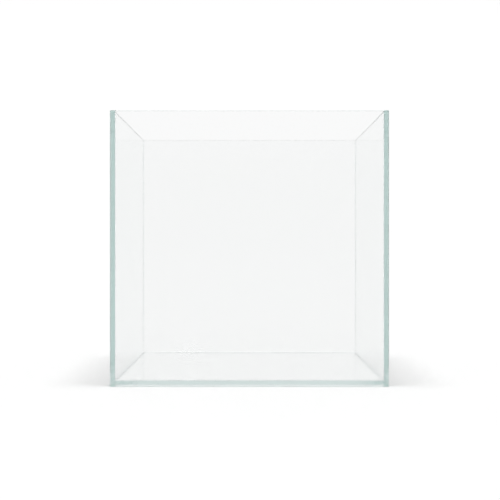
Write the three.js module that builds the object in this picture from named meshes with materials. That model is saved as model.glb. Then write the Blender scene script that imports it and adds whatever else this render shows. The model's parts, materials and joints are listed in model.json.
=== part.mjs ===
// A rimless aquarium: an open-topped box of five float-glass panes, glued edge to face with
// clear silicone and sealed along every inside corner.
//
// Millimetres, +Z up. The origin is in the middle of the underside, and the front pane faces -Y.

import * as THREE from 'three';

// Driving dimensions
const WIDTH = 300; // outside, left to right
const DEPTH = 300; // outside, front to back
const HEIGHT = 297; // underside to rim
const GLASS = 5; // thickness of every pane
const ARRIS = 0.5; // flat ground along every pane edge to take its sharpness off
const LIFT = 1; // how far the base pane sits above the walls' lower edges
const BOND = 0.75; // silicone between a pane's edge and the face it is glued to
const SEAL = 1.5; // leg of the fillet run into each inside corner
const SEAL_HOLLOW = 0.3; // how near the corner the curve of its hollow face is drawn, as a share of its leg
const SEAL_STEPS = 8; // flats that make up the fillet's hollow face

// The clear space between the walls
const INNER_WIDTH = WIDTH - 2 * GLASS;
const INNER_DEPTH = DEPTH - 2 * GLASS;
const FLOOR = LIFT + GLASS; // top of the base pane

const QUARTER_TURN = Math.PI / 2;

// The front and back panes run the full width and cover the side panes' edges. In a wall's own
// frame the wall stands on the -Y side, `reach` from the middle, and X runs along it.
const walls = [
  { name: 'front', turn: 0, run: INNER_WIDTH, reach: INNER_DEPTH / 2, covers: true },
  { name: 'right', turn: QUARTER_TURN, run: INNER_DEPTH, reach: INNER_WIDTH / 2, covers: false },
  { name: 'back', turn: 2 * QUARTER_TURN, run: INNER_WIDTH, reach: INNER_DEPTH / 2, covers: true },
  { name: 'left', turn: -QUARTER_TURN, run: INNER_DEPTH, reach: INNER_WIDTH / 2, covers: false },
];

// The four upright corners. The turn brings a fillet's two legs round to that corner.
const corners = [
  { name: 'front_left', x: -1, y: -1, turn: 0 },
  { name: 'front_right', x: 1, y: -1, turn: QUARTER_TURN },
  { name: 'back_right', x: 1, y: 1, turn: 2 * QUARTER_TURN },
  { name: 'back_left', x: -1, y: 1, turn: -QUARTER_TURN },
];

// Low-iron float glass: almost colourless through the face.
function glassMaterial() {
  return new THREE.MeshStandardMaterial({
    color: 0xe4f1ee,
    roughness: 0.03,
    metalness: 0,
    transparent: true,
    opacity: 0.35,
  });
}

// Clear acetoxy silicone, cured: slightly milky, with a soft shine.
function siliconeMaterial() {
  return new THREE.MeshStandardMaterial({
    color: 0xdfe6e3,
    roughness: 0.3,
    metalness: 0,
    transparent: true,
    opacity: 0.6,
  });
}

// One pane, lying flat: centred in X, its long edge on Y = 0 and its lower face on Z = 0. The
// bevel is the arris, so the outline is drawn that much inside the pane's own size.
function paneGeometry(length, height) {
  const outline = new THREE.Shape();
  outline.moveTo(-length / 2 + ARRIS, ARRIS);
  outline.lineTo(length / 2 - ARRIS, ARRIS);
  outline.lineTo(length / 2 - ARRIS, height - ARRIS);
  outline.lineTo(-length / 2 + ARRIS, height - ARRIS);
  outline.closePath();
  const geometry = new THREE.ExtrudeGeometry(outline, {
    depth: GLASS - 2 * ARRIS,
    bevelThickness: ARRIS,
    bevelSize: ARRIS,
    bevelSegments: 1,
  });
  return geometry.translate(0, 0, ARRIS);
}

// A fillet of silicone: its right angle lies on the Z axis, its legs run along +X and +Y, and
// its hollow face is the one a rounded tool leaves.
function filletGeometry(length) {
  const section = new THREE.Shape();
  section.moveTo(0, 0);
  section.lineTo(SEAL, 0);
  section.quadraticCurveTo(SEAL * SEAL_HOLLOW, SEAL * SEAL_HOLLOW, 0, SEAL);
  section.closePath();
  return new THREE.ExtrudeGeometry(section, {
    depth: length,
    bevelEnabled: false,
    curveSegments: SEAL_STEPS,
  });
}

function named(name, geometry, material) {
  const mesh = new THREE.Mesh(geometry, material);
  mesh.name = name;
  return mesh;
}

// A wall pane stands on its long edge with its inside face at `reach`.
function wallPane(wall) {
  const length = wall.covers ? wall.run + 2 * GLASS : wall.run - 2 * BOND;
  const mesh = named(`${wall.name}_pane`, paneGeometry(length, HEIGHT), glassMaterial());
  mesh.rotation.x = QUARTER_TURN;
  mesh.position.y = -wall.reach;
  return mesh;
}

// The base pane lies between the four walls, clear of the surface that their lower edges
// stand on, so that grit under the tank can't press on it.
function basePane() {
  const length = INNER_WIDTH - 2 * BOND;
  const depth = INNER_DEPTH - 2 * BOND;
  const mesh = named('base_pane', paneGeometry(length, depth), glassMaterial());
  mesh.position.set(0, -depth / 2, LIFT);
  return mesh;
}

// Structural silicone between the base pane's edge and a wall. It stops at the arris
// underneath, and the front and back strips fill the corners.
function baseBond(wall) {
  const length = wall.covers ? wall.run : wall.run - 2 * BOND;
  const height = GLASS - ARRIS;
  const geometry = new THREE.BoxGeometry(length, BOND, height);
  const mesh = named(`${wall.name}_base_bond`, geometry, siliconeMaterial());
  mesh.position.set(0, -wall.reach + BOND / 2, FLOOR - height / 2);
  return mesh;
}

// The fillet between the base pane and a wall, stopping at the upright fillets.
function baseSeal(wall) {
  const length = wall.run - 2 * SEAL;
  const mesh = named(`${wall.name}_base_seal`, filletGeometry(length), siliconeMaterial());
  // laid along the wall: its legs turn to +Y, over the base, and +Z, up the wall
  mesh.rotation.set(QUARTER_TURN, 0, QUARTER_TURN, 'ZYX');
  mesh.position.set(-length / 2, -wall.reach, FLOOR);
  return mesh;
}

// Structural silicone between a side pane's edge and the front or back pane, trimmed back to
// the arris outside.
function cornerBond(corner) {
  const width = GLASS - ARRIS;
  const geometry = new THREE.BoxGeometry(width, BOND, HEIGHT);
  const mesh = named(`${corner.name}_corner_bond`, geometry, siliconeMaterial());
  mesh.position.set(
    corner.x * (INNER_WIDTH / 2 + width / 2),
    corner.y * (INNER_DEPTH / 2 - BOND / 2),
    HEIGHT / 2,
  );
  return mesh;
}

// The fillet up an inside corner, from the base pane to the rim.
function cornerSeal(corner) {
  const geometry = filletGeometry(HEIGHT - FLOOR);
  const mesh = named(`${corner.name}_corner_seal`, geometry, siliconeMaterial());
  mesh.rotation.z = corner.turn;
  mesh.position.set((corner.x * INNER_WIDTH) / 2, (corner.y * INNER_DEPTH) / 2, FLOOR);
  return mesh;
}

const aquarium = new THREE.Group();
aquarium.add(basePane());

for (const wall of walls) {
  const side = new THREE.Group();
  side.rotation.z = wall.turn;
  side.add(wallPane(wall), baseBond(wall), baseSeal(wall));
  aquarium.add(side);
}

for (const corner of corners) {
  aquarium.add(cornerBond(corner), cornerSeal(corner));
}

export default aquarium;
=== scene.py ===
"""A rimless aquarium: five panes of low-iron float glass, glued edge to face with clear silicone."""

import json
import math

import bmesh
import bpy
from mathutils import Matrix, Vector, noise

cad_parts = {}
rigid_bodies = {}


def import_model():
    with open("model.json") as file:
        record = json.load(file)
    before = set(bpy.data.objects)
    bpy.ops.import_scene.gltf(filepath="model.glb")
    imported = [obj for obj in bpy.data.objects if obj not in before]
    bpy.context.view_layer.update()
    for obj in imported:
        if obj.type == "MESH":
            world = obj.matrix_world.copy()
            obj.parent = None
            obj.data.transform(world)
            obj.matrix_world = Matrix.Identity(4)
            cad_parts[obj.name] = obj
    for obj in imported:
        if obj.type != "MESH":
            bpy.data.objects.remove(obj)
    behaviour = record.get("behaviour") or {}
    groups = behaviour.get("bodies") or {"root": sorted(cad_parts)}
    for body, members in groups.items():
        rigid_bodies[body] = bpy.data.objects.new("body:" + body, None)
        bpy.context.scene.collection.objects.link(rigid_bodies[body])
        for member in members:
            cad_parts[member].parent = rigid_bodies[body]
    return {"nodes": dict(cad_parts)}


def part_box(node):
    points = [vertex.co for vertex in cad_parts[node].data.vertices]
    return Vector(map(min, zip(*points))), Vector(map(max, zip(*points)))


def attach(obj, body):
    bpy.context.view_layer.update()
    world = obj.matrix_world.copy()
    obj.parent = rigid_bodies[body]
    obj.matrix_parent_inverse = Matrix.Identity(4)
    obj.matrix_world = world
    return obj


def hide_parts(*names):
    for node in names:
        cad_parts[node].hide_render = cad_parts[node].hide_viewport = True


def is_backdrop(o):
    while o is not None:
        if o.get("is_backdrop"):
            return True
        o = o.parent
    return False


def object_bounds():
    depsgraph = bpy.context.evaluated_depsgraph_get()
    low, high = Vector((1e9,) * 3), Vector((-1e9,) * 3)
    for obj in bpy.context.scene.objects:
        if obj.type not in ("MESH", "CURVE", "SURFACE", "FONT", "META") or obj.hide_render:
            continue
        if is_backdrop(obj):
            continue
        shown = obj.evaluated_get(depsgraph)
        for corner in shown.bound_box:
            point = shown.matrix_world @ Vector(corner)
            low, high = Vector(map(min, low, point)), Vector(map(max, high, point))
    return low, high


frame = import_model()
cad_low, cad_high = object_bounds()

MM = 0.001


# ---- Base pane -------------------------------------------------------------------------------
# The real base is a cut sheet of low-iron float glass with flat-ground, polished edges. It is
# held 1 mm clear of the floor by the silicone round it. Low-iron glass is almost colourless
# through its 5 mm, and shows its pale sea-green only where the eye looks along the sheet.

ARRIS = 0.5 * MM  # the narrow flat ground along every edge
RIM = cad_high.z
BONDS = [name for name in frame["nodes"] if name.endswith("_bond")]
FLUSH = 0.05 * MM  # within this of a bond, a face touches it
SNAP = 1e-6  # a cut this near a corner goes through it
FACE_ON = 0.99  # a face whose normal is this near the pane's own is part of its broad side
GROUND, WETTED = "ground", "wetted"
GLASS_IOR = 1.52
AIR_IOR = 1.0  # a surface drawn with this doesn't bend light
SEA_GREEN = "#90c4be"
WALL_IRON, BASE_IRON = 3.0, 1.5  # how strongly the iron in the glass absorbs, per metre
THIN_FACE_SHADE, HEAVY_FACE_SHADE = "#fcfcfc", "#f9f9f9"  # painted shade: grey laid into the faces, for the darker room that they reflect
# the grey one is a painted shade on ground edges, for the darker surroundings that they refract
CLEAR_EDGE, GREY_EDGE_SHADE = "#ffffff", "#dedede"
WIPED_PATCH = 40 * MM
WHEEL_MARK = 0.4 * MM  # across
WHEEL_MARK_RUN = 30 * MM  # along


def linear(hex_colour):
    """An sRGB hex value as the linear colour that a shader socket takes."""
    channels = [int(hex_colour[i : i + 2], 16) / 255 for i in (1, 3, 5)]
    bent = [c / 12.92 if c <= 0.04045 else ((c + 0.055) / 1.055) ** 2.4 for c in channels]
    return (*bent, 1.0)


def add_node(tree, kind, settings=None, sockets=None, links=None):
    """Adds a node, with its settings, its plain socket values, and what feeds its other sockets."""
    node = tree.nodes.new(kind)
    for name, value in (settings or {}).items():
        setattr(node, name, value)
    for name, value in (sockets or {}).items():
        node.inputs[name].default_value = value
    for name, source in (links or {}).items():
        tree.links.new(source, node.inputs[name])
    return node


def new_material(name):
    """An empty node material and its output node."""
    material = bpy.data.materials.new(name)
    material.use_nodes = True
    tree = material.node_tree
    tree.nodes.clear()
    return material, tree, add_node(tree, "ShaderNodeOutputMaterial")


def float_glass(pane, across, iron, face_shade, edge):
    """Float glass as it left the tin bath, with its edges ground flat and felt-polished.

    A face marked GROUND belongs to a bare edge. One marked WETTED lies against a bond: the two
    are drawn as if they bent light alike, so that the surface between them vanishes. iron is how
    green the glass is. The two after it are painted shade: the grey laid into its faces, and that
    laid into its ground edges, for the darker surroundings that they reflect and refract.
    """
    material, tree, output = new_material(f"low_iron_float_glass_{pane}")
    place = add_node(tree, "ShaderNodeTexCoord")
    ground = add_node(tree, "ShaderNodeAttribute", settings={"attribute_name": GROUND})
    wetted = add_node(tree, "ShaderNodeAttribute", settings={"attribute_name": WETTED})
    # the faces: wiped with a cloth, which leaves soft patches
    patches = add_node(
        tree,
        "ShaderNodeTexNoise",
        sockets={"Scale": 1 / WIPED_PATCH, "Detail": 3.0, "Roughness": 0.55},
        links={"Vector": place.outputs["Object"]},
    )
    face_shine = add_node(
        tree,
        "ShaderNodeMapRange",
        sockets={"From Min": 0.35, "From Max": 0.75, "To Min": 0.0, "To Max": 0.035},
        links={"Value": patches.outputs["Fac"]},
    )
    # the edges: fine wheel marks, each running on for a while along the edge
    marks_scale = [1 / WHEEL_MARK_RUN] * 3
    marks_scale[across] = 1 / WHEEL_MARK
    stretch = add_node(
        tree,
        "ShaderNodeMapping",
        sockets={"Scale": marks_scale},
        links={"Vector": place.outputs["Object"]},
    )
    marks = add_node(
        tree,
        "ShaderNodeTexNoise",
        sockets={"Scale": 1.0, "Detail": 2.0},
        links={"Vector": stretch.outputs["Vector"]},
    )
    edge_shine = add_node(
        tree,
        "ShaderNodeMapRange",
        sockets={"From Min": 0.3, "From Max": 0.7, "To Min": 0.03, "To Max": 0.1},
        links={"Value": marks.outputs["Fac"]},
    )
    relief_strength = add_node(
        tree,
        "ShaderNodeMath",
        settings={"operation": "MULTIPLY"},
        sockets={1: 0.1},
        links={0: ground.outputs["Fac"]},
    )
    relief = add_node(
        tree,
        "ShaderNodeBump",
        sockets={"Distance": 0.02 * MM},
        links={
            "Strength": relief_strength.outputs["Value"],
            "Height": marks.outputs["Fac"],
        },
    )
    open_shine = add_node(
        tree,
        "ShaderNodeMix",
        settings={"data_type": "FLOAT"},
        links={
            "Factor": ground.outputs["Fac"],
            "A": face_shine.outputs["Result"],
            "B": edge_shine.outputs["Result"],
        },
    )
    shine = add_node(
        tree,
        "ShaderNodeMix",
        settings={"data_type": "FLOAT"},
        sockets={"B": 0.0},
        links={"Factor": wetted.outputs["Fac"], "A": open_shine.outputs["Result"]},
    )
    bending = add_node(
        tree,
        "ShaderNodeMapRange",
        sockets={"To Min": GLASS_IOR, "To Max": AIR_IOR},
        links={"Value": wetted.outputs["Fac"]},
    )
    # painted shade: the faces' grey and the ground edges' grey, laid into the glass's colour
    painted_shade_tint = add_node(
        tree,
        "ShaderNodeMix",
        settings={"data_type": "RGBA"},
        sockets={"A": linear(face_shade), "B": linear(edge)},
        links={"Factor": ground.outputs["Fac"]},
    )
    glass = add_node(
        tree,
        "ShaderNodeBsdfPrincipled",
        sockets={
            "IOR": GLASS_IOR,
            "Transmission Weight": 1.0,
        },
        links={
            "Base Color": painted_shade_tint.outputs["Result"],
            "Roughness": shine.outputs["Result"],
            "IOR": bending.outputs["Result"],
            "Normal": relief.outputs["Normal"],
        },
    )
    tree.links.new(glass.outputs["BSDF"], output.inputs["Surface"])
    # iron left in the melt takes out the red first, over a path of tens of centimetres
    depth = add_node(
        tree,
        "ShaderNodeVolumeAbsorption",
        sockets={"Color": linear(SEA_GREEN), "Density": iron},
    )
    tree.links.new(depth.outputs["Volume"], output.inputs["Volume"])
    return material


def wetted_box(name):
    """The box that a bond wets. A corner bond is trimmed at the arrises of the panes' ends."""
    low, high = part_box(name)
    if "corner" in name:
        low.z, high.z = ARRIS, RIM - ARRIS
    return low, high


def is_wetted(point):
    """True where a point on a pane's surface lies against a bond. The seals don't count."""
    for low, high in map(wetted_box, BONDS):
        if all(low[i] - FLUSH <= point[i] <= high[i] + FLUSH for i in range(3)):
            return True
    return False


def cut_pane(node, iron=WALL_IRON, face_shade=THIN_FACE_SHADE, edge=CLEAR_EDGE, facets=2):
    """One pane from its sheet: cut to size, arrised, and parted where a bond meets it.

    facets is how many flats make up its arris.
    """
    low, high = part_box(node)
    thin = min(range(3), key=lambda i: high[i] - low[i])
    sheet = bmesh.new()
    bmesh.ops.create_cube(sheet, size=1.0)
    for v in sheet.verts:
        v.co = Vector(low[i] if v.co[i] < 0 else high[i] for i in range(3))
    bmesh.ops.bevel(
        sheet, geom=sheet.edges[:], offset=ARRIS, segments=facets, profile=0.5, affect="EDGES"
    )
    for name in BONDS:
        for corner in wetted_box(name):
            for axis in range(3):
                if low[axis] + ARRIS < corner[axis] < high[axis] - ARRIS and axis != thin:
                    normal = [float(i == axis) for i in range(3)]
                    everything = sheet.verts[:] + sheet.edges[:] + sheet.faces[:]
                    bmesh.ops.bisect_plane(
                        sheet, geom=everything, dist=SNAP, plane_co=corner, plane_no=normal
                    )
    ground = sheet.faces.layers.float.new(GROUND)
    wetted = sheet.faces.layers.float.new(WETTED)
    for face in sheet.faces:
        face[wetted] = float(is_wetted(face.calc_center_median()))
        face[ground] = float(abs(face.normal[thin]) < FACE_ON and not face[wetted])
    mesh = bpy.data.meshes.new(f"{node}_glass")
    sheet.to_mesh(mesh)
    sheet.free()
    mesh.materials.append(float_glass(node, thin, iron, face_shade, edge))
    piece = bpy.data.objects.new(mesh.name, mesh)
    bpy.context.scene.collection.objects.link(piece)
    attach(piece, "root")
    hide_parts(node)


# it comes from a clearer sheet than the walls, with half the iron, and its arris is one flat
cut_pane("base_pane", iron=BASE_IRON, facets=1)


# ---- Wall panes ------------------------------------------------------------------------------
# Four sheets of the same glass stand round the base. The front and back panes run the full
# width and cover the side panes' edges, and all four stand on their own lower edges.

# every pane carries a faint painted shade, grey laid into its faces for the darker room that they
# reflect, and the front pane's is twice as heavy as the others'.
# Its arris is one flat like the base's, and the other three walls have two
cut_pane("front_pane", face_shade=HEAVY_FACE_SHADE, facets=1)
# the back pane's ground edges carry a painted shade, a little grey for the darker surroundings that
# they refract
cut_pane("back_pane", edge=GREY_EDGE_SHADE)
cut_pane("left_pane")
cut_pane("right_pane")


# ---- Structural bonds ------------------------------------------------------------------------
# Clear silicone fills the 0.75 mm joint between each pane's edge and the face it meets. The
# edge that stays open has drawn in to a shallow hollow, and the rest is wetted to the glass,
# where only a trace of milkiness gives it away.

HAIR = 0.02 * MM  # silicone stops this far from the glass, so that no two surfaces coincide
DRAWN_IN = 0.2 * MM  # depth of the hollow along a bond's open edge
BOND_HOLLOW_STEPS = 6  # flats across that hollow
BOND_STEPS = 60  # lengths that a bond is made up of
SILICONE_IOR = 1.41
RIPPLE = 3 * MM
MILKY_PATCH = 25 * MM
OPEN, CLOSED = range(2)


def clear_silicone():
    """Cured clear silicone where it meets the air: tooled smooth, slightly milky, softly shiny."""
    material, tree, output = new_material("tooled_clear_silicone")
    place = add_node(tree, "ShaderNodeTexCoord")
    # the tool leaves short ripples
    ripple = add_node(
        tree,
        "ShaderNodeTexNoise",
        sockets={"Scale": 1 / RIPPLE, "Detail": 3.0},
        links={"Vector": place.outputs["Object"]},
    )
    relief = add_node(
        tree,
        "ShaderNodeBump",
        sockets={"Strength": 0.25, "Distance": 0.05 * MM},
        links={"Height": ripple.outputs["Fac"]},
    )
    shine = add_node(
        tree,
        "ShaderNodeMapRange",
        sockets={"From Min": 0.3, "From Max": 0.7, "To Min": 0.1, "To Max": 0.24},
        links={"Value": ripple.outputs["Fac"]},
    )
    silicone = add_node(
        tree,
        "ShaderNodeBsdfPrincipled",
        sockets={
            "Base Color": linear("#ffffff"),
            "IOR": SILICONE_IOR,
            "Transmission Weight": 0.8,
        },
        links={"Roughness": shine.outputs["Result"], "Normal": relief.outputs["Normal"]},
    )
    tree.links.new(silicone.outputs["BSDF"], output.inputs["Surface"])
    return material


def bonded_silicone(name, cloudiest, clearest):
    """Silicone against glass: no surface to see, only its faint milkiness.

    cloudiest and clearest are how much of the light it lets through, from place to place.
    """
    material, tree, output = new_material(name)
    place = add_node(tree, "ShaderNodeTexCoord")
    # it was pressed out by hand, so that its milkiness comes and goes every few centimetres
    pressed = add_node(
        tree,
        "ShaderNodeTexNoise",
        sockets={"Scale": 1 / MILKY_PATCH, "Detail": 2.0},
        links={"Vector": place.outputs["Object"]},
    )
    clarity = add_node(
        tree,
        "ShaderNodeMapRange",
        sockets={"From Min": 0.3, "From Max": 0.7, "To Min": cloudiest, "To Max": clearest},
        links={"Value": pressed.outputs["Fac"]},
    )
    silicone = add_node(
        tree,
        "ShaderNodeBsdfPrincipled",
        sockets={
            "Base Color": linear("#ffffff"),
            "Roughness": 0.0,
            "IOR": AIR_IOR,
        },
        links={"Transmission Weight": clarity.outputs["Result"]},
    )
    tree.links.new(silicone.outputs["BSDF"], output.inputs["Surface"])
    return material


silicone_open = clear_silicone()
# a wall's bond is pressed thin and even, and the base's bed is thicker and holds fine bubbles
silicone_pressed = bonded_silicone("pressed_clear_silicone", 0.995, 1.0)
silicone_bed = bonded_silicone("bubbled_clear_silicone", 0.985, 1.0)


def lay_silicone(node, place, length, steps, section):
    """Runs a section of silicone along a joint.

    section(s) gives the section's corners at the distance s, each with how its side to the next
    corner lies, OPEN or CLOSED, and place(s, u, v) turns a corner into a point.
    """
    run = bmesh.new()
    rings = []
    for step in range(steps + 1):
        s = length * step / steps
        corners = section(s)
        sides = [side for _, _, side in corners]
        rings.append([run.verts.new(place(s, u, v)) for u, v, _ in corners])
    count = len(sides)
    for before, after in zip(rings, rings[1:]):
        for i, side in enumerate(sides):
            j = (i + 1) % count
            face = run.faces.new((before[i], before[j], after[j], after[i]))
            face.material_index = side
    for ring in (rings[0], rings[-1]):
        run.faces.new(ring).material_index = CLOSED
    bmesh.ops.recalc_face_normals(run, faces=run.faces[:])
    mesh = bpy.data.meshes.new(f"{node}_silicone")
    run.to_mesh(mesh)
    run.free()
    mesh.materials.append(silicone_open)
    mesh.materials.append(silicone_bed if node.endswith("_base_bond") else silicone_pressed)
    piece = bpy.data.objects.new(mesh.name, mesh)
    bpy.context.scene.collection.objects.link(piece)
    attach(piece, "root")
    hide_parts(node)


def bond_section(depth, thickness):
    """A bond's section: u runs from the closed end to the open, hollow one, v across the joint."""
    corners = [(HAIR, HAIR, CLOSED)]
    for step in range(BOND_HOLLOW_STEPS + 1):
        share = step / BOND_HOLLOW_STEPS
        u = depth - DRAWN_IN * math.sin(math.pi * share)
        v = HAIR + (thickness - 2 * HAIR) * share
        corners.append((u, v, OPEN if step < BOND_HOLLOW_STEPS else CLOSED))
    corners.append((HAIR, thickness - HAIR, CLOSED))
    return corners


for name in (n for n in BONDS if "corner" in n):
    low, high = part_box(name)
    outward = math.copysign(1.0, low.x)
    inner_x = min(abs(low.x), abs(high.x)) * outward
    lay_silicone(
        name,
        lambda s, u, v: (inner_x + outward * u, low.y + v, ARRIS + s),
        high.z - 2 * ARRIS,
        BOND_STEPS,
        lambda s: bond_section(high.x - low.x, high.y - low.y),
    )

for name in (n for n in BONDS if "base" in n):
    low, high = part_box(name)
    along = 0 if high.x - low.x > high.y - low.y else 1
    across = 1 - along

    def bond_point(s, u, v):
        point = Vector((0, 0, high.z - u))
        point[along] = low[along] + HAIR + s
        point[across] = low[across] + v
        return point

    lay_silicone(
        name,
        bond_point,
        high[along] - low[along] - 2 * HAIR,
        BOND_STEPS,
        lambda s: bond_section(high.z - low.z, high[across] - low[across]),
    )


# ---- Inside seals ----------------------------------------------------------------------------
# A second run of silicone, tooled into each inside corner, keeps the water off the bonds. Its
# hollow face comes from the tool's round tip, and its edges wander a little where masking
# tape was pulled away.

SEALS = [name for name in frame["nodes"] if name.endswith("_seal")]
SEAL_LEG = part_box("front_base_seal")[1].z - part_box("front_base_seal")[0].z
WANDER = 0.12  # how far a seal's edge strays, as a share of its leg
WANDER_LENGTH = 14 * MM  # over about this distance
LEGS_APART = 7.3  # between the strays of a seal's two edges, so that they differ
CORNER_SEED, BASE_SEED = 11.0, 31.0
SEAL_STEPS = 200  # lengths that a seal is made up of
SEAL_HOLLOW_STEPS = 14  # flats across its hollow face
TOOLED, FILLED = 0.3, 0.95  # where the hollow's curve is drawn to, as a share of the leg


def seal_section(s, seed, fullness):
    """A seal's section: a right angle in the corner, closed by the tool's hollow curve."""

    def leg(which):
        stray = noise.noise(Vector((s / WANDER_LENGTH, seed, which * LEGS_APART)))
        return SEAL_LEG * (1 - WANDER * (0.5 + 0.5 * stray))

    a, b = leg(0), leg(1)
    corners = [(HAIR, HAIR, CLOSED)]
    for step in range(SEAL_HOLLOW_STEPS + 1):
        t = step / SEAL_HOLLOW_STEPS
        u = (1 - t) ** 2 * a + 2 * t * (1 - t) * a * fullness + t * t * HAIR
        v = (1 - t) ** 2 * HAIR + 2 * t * (1 - t) * b * fullness + t * t * b
        corners.append((u, v, OPEN if step < SEAL_HOLLOW_STEPS else CLOSED))
    return corners


def corner_fullness(s):
    """The upright seals swell at the foot, where the seals along the base run into them."""
    reach = 2 * SEAL_LEG
    return FILLED + (TOOLED - FILLED) * min(1.0, max(0.0, s - SEAL_LEG / 2) / reach)


for seed, name in enumerate(n for n in SEALS if "corner" in n):
    low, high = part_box(name)
    side = math.copysign(1.0, low.x)
    end = math.copysign(1.0, low.y)
    corner_x = max(abs(low.x), abs(high.x)) * side
    corner_y = max(abs(low.y), abs(high.y)) * end
    lay_silicone(
        name,
        lambda s, u, v: (corner_x - side * u, corner_y - end * v, low.z + HAIR + s),
        high.z - low.z - HAIR - ARRIS,
        SEAL_STEPS,
        lambda s: seal_section(s, CORNER_SEED + seed, corner_fullness(s)),
    )

for seed, name in enumerate(n for n in SEALS if "base" in n):
    low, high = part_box(name)
    along = 0 if high.x - low.x > high.y - low.y else 1
    across = 1 - along
    outward = math.copysign(1.0, low[across])
    wall = max(abs(low[across]), abs(high[across])) * outward

    def seal_point(s, u, v):
        point = Vector((0, 0, low.z + v))
        point[along] = low[along] + s
        point[across] = wall - outward * u
        return point

    lay_silicone(
        name,
        seal_point,
        high[along] - low[along],
        SEAL_STEPS,
        lambda s: seal_section(s, BASE_SEED + seed, TOOLED),
    )


# ---- Floor -----------------------------------------------------------------------------------
# A sheet of white matt board, swept out far beyond the view, with the tank standing on it.

FLOOR_SIZE = 40.0
FLOOR_SQUARES = 8
FIBRE = 4 * MM
UNDER = 0.1 * MM  # the walls' edges stand on the board with air between, so they keep their shine

board = bmesh.new()
bmesh.ops.create_grid(
    board, x_segments=FLOOR_SQUARES, y_segments=FLOOR_SQUARES, size=FLOOR_SIZE / 2
)
floor_mesh = bpy.data.meshes.new("floor_board")
board.to_mesh(floor_mesh)
board.free()
floor = bpy.data.objects.new("floor_board", floor_mesh)
floor.location.z = -UNDER
bpy.context.scene.collection.objects.link(floor)
floor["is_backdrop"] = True

board_white, tree, output = new_material("white_matt_board")
place = add_node(tree, "ShaderNodeTexCoord")
# paper fibres, drawn a good deal coarser than real ones
fibre_noise = add_node(
    tree,
    "ShaderNodeTexNoise",
    sockets={"Scale": 1 / FIBRE, "Detail": 2.0},
    links={"Vector": place.outputs["Object"]},
)
fibre = add_node(
    tree,
    "ShaderNodeMix",
    settings={"data_type": "RGBA"},
    sockets={"A": linear("#c6c6c6"), "B": linear("#c8c8c8")},
    links={"Factor": fibre_noise.outputs["Fac"]},
)
board_face = add_node(
    tree,
    "ShaderNodeBsdfPrincipled",
    sockets={
        "Roughness": 0.9,
        "Specular IOR Level": 0.0,
    },
    links={"Base Color": fibre.outputs["Result"]},
)
tree.links.new(board_face.outputs["BSDF"], output.inputs["Surface"])
floor_mesh.materials.append(board_white)


# ---- Studio ----------------------------------------------------------------------------------
# A white tent lights the tank evenly from all round. Two soft lamps overhead, each tilted to one
# side, add a shadow along either side of the tank.

TENT_STRENGTH = 1.01
LAMP_STRENGTH = 1.21
LAMP_SPREAD = math.radians(15)
LAMP_TILT = math.radians(8)
CLEAR_BOUNCES = 64  # enough for light to cross every pane and run along inside one
BOARD_BOUNCES = 4

scene = bpy.context.scene
tent = bpy.data.worlds.new("white_tent")
scene.world = tent
tent.use_nodes = True
tree = tent.node_tree
tree.nodes.clear()
glow = add_node(
    tree,
    "ShaderNodeBackground",
    sockets={"Color": linear("#ffffff"), "Strength": TENT_STRENGTH},
)
add_node(tree, "ShaderNodeOutputWorld", links={"Surface": glow.outputs["Background"]})

for side, turned in (("left", 1), ("right", -1)):
    light = bpy.data.lights.new(f"overhead_lamp_{side}", "SUN")
    light.energy = LAMP_STRENGTH
    light.angle = LAMP_SPREAD
    light.cycles.use_multiple_importance_sampling = False
    lamp = bpy.data.objects.new(light.name, light)
    lamp.rotation_euler = (0.0, LAMP_TILT * turned, 0.0)
    # it can't be seen in the glass or through it
    lamp.visible_glossy = False
    lamp.visible_transmission = False
    scene.collection.objects.link(lamp)
    # its light slants outward past one side pane, and only that pane shades it
    blocker = bpy.data.collections.new(f"blocks_{lamp.name}")
    blocker.objects.link(bpy.data.objects[f"{side}_pane_glass"])
    lamp.light_linking.blocker_collection = blocker

scene.view_settings.view_transform = "Standard"
cycles = scene.cycles
cycles.max_bounces = CLEAR_BOUNCES
cycles.transmission_bounces = CLEAR_BOUNCES
cycles.glossy_bounces = CLEAR_BOUNCES
cycles.diffuse_bounces = BOARD_BOUNCES
cycles.use_denoising = True
# denoised from colour alone: guided by surfaces, it draws false edges in clear glass
cycles.denoising_input_passes = "RGB"
cycles.blur_glossy = 0.0


# ---- Camera ----------------------------------------------------------------------------------
# Level with the middle of the tank and square to its front pane, about a metre away.

FOCAL_LENGTH = 70.5  # millimetres, on a sensor 36 wide
SHIFT_X, SHIFT_Y = 0.001, -0.0054
DISTANCE = 1.0517  # from the front pane
EYE_HEIGHT = 0.1498

lens = bpy.data.cameras.new("camera")
lens.sensor_width = 36.0
lens.lens = FOCAL_LENGTH
lens.shift_x = SHIFT_X
lens.shift_y = SHIFT_Y
camera = bpy.data.objects.new("camera", lens)
camera.location = (0.0, cad_low.y - DISTANCE, EYE_HEIGHT)
camera.rotation_euler = (math.pi / 2, 0.0, 0.0)
lens.clip_start = 0.01
lens.clip_end = 100.0
scene.collection.objects.link(camera)
scene.camera = camera

low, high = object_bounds()
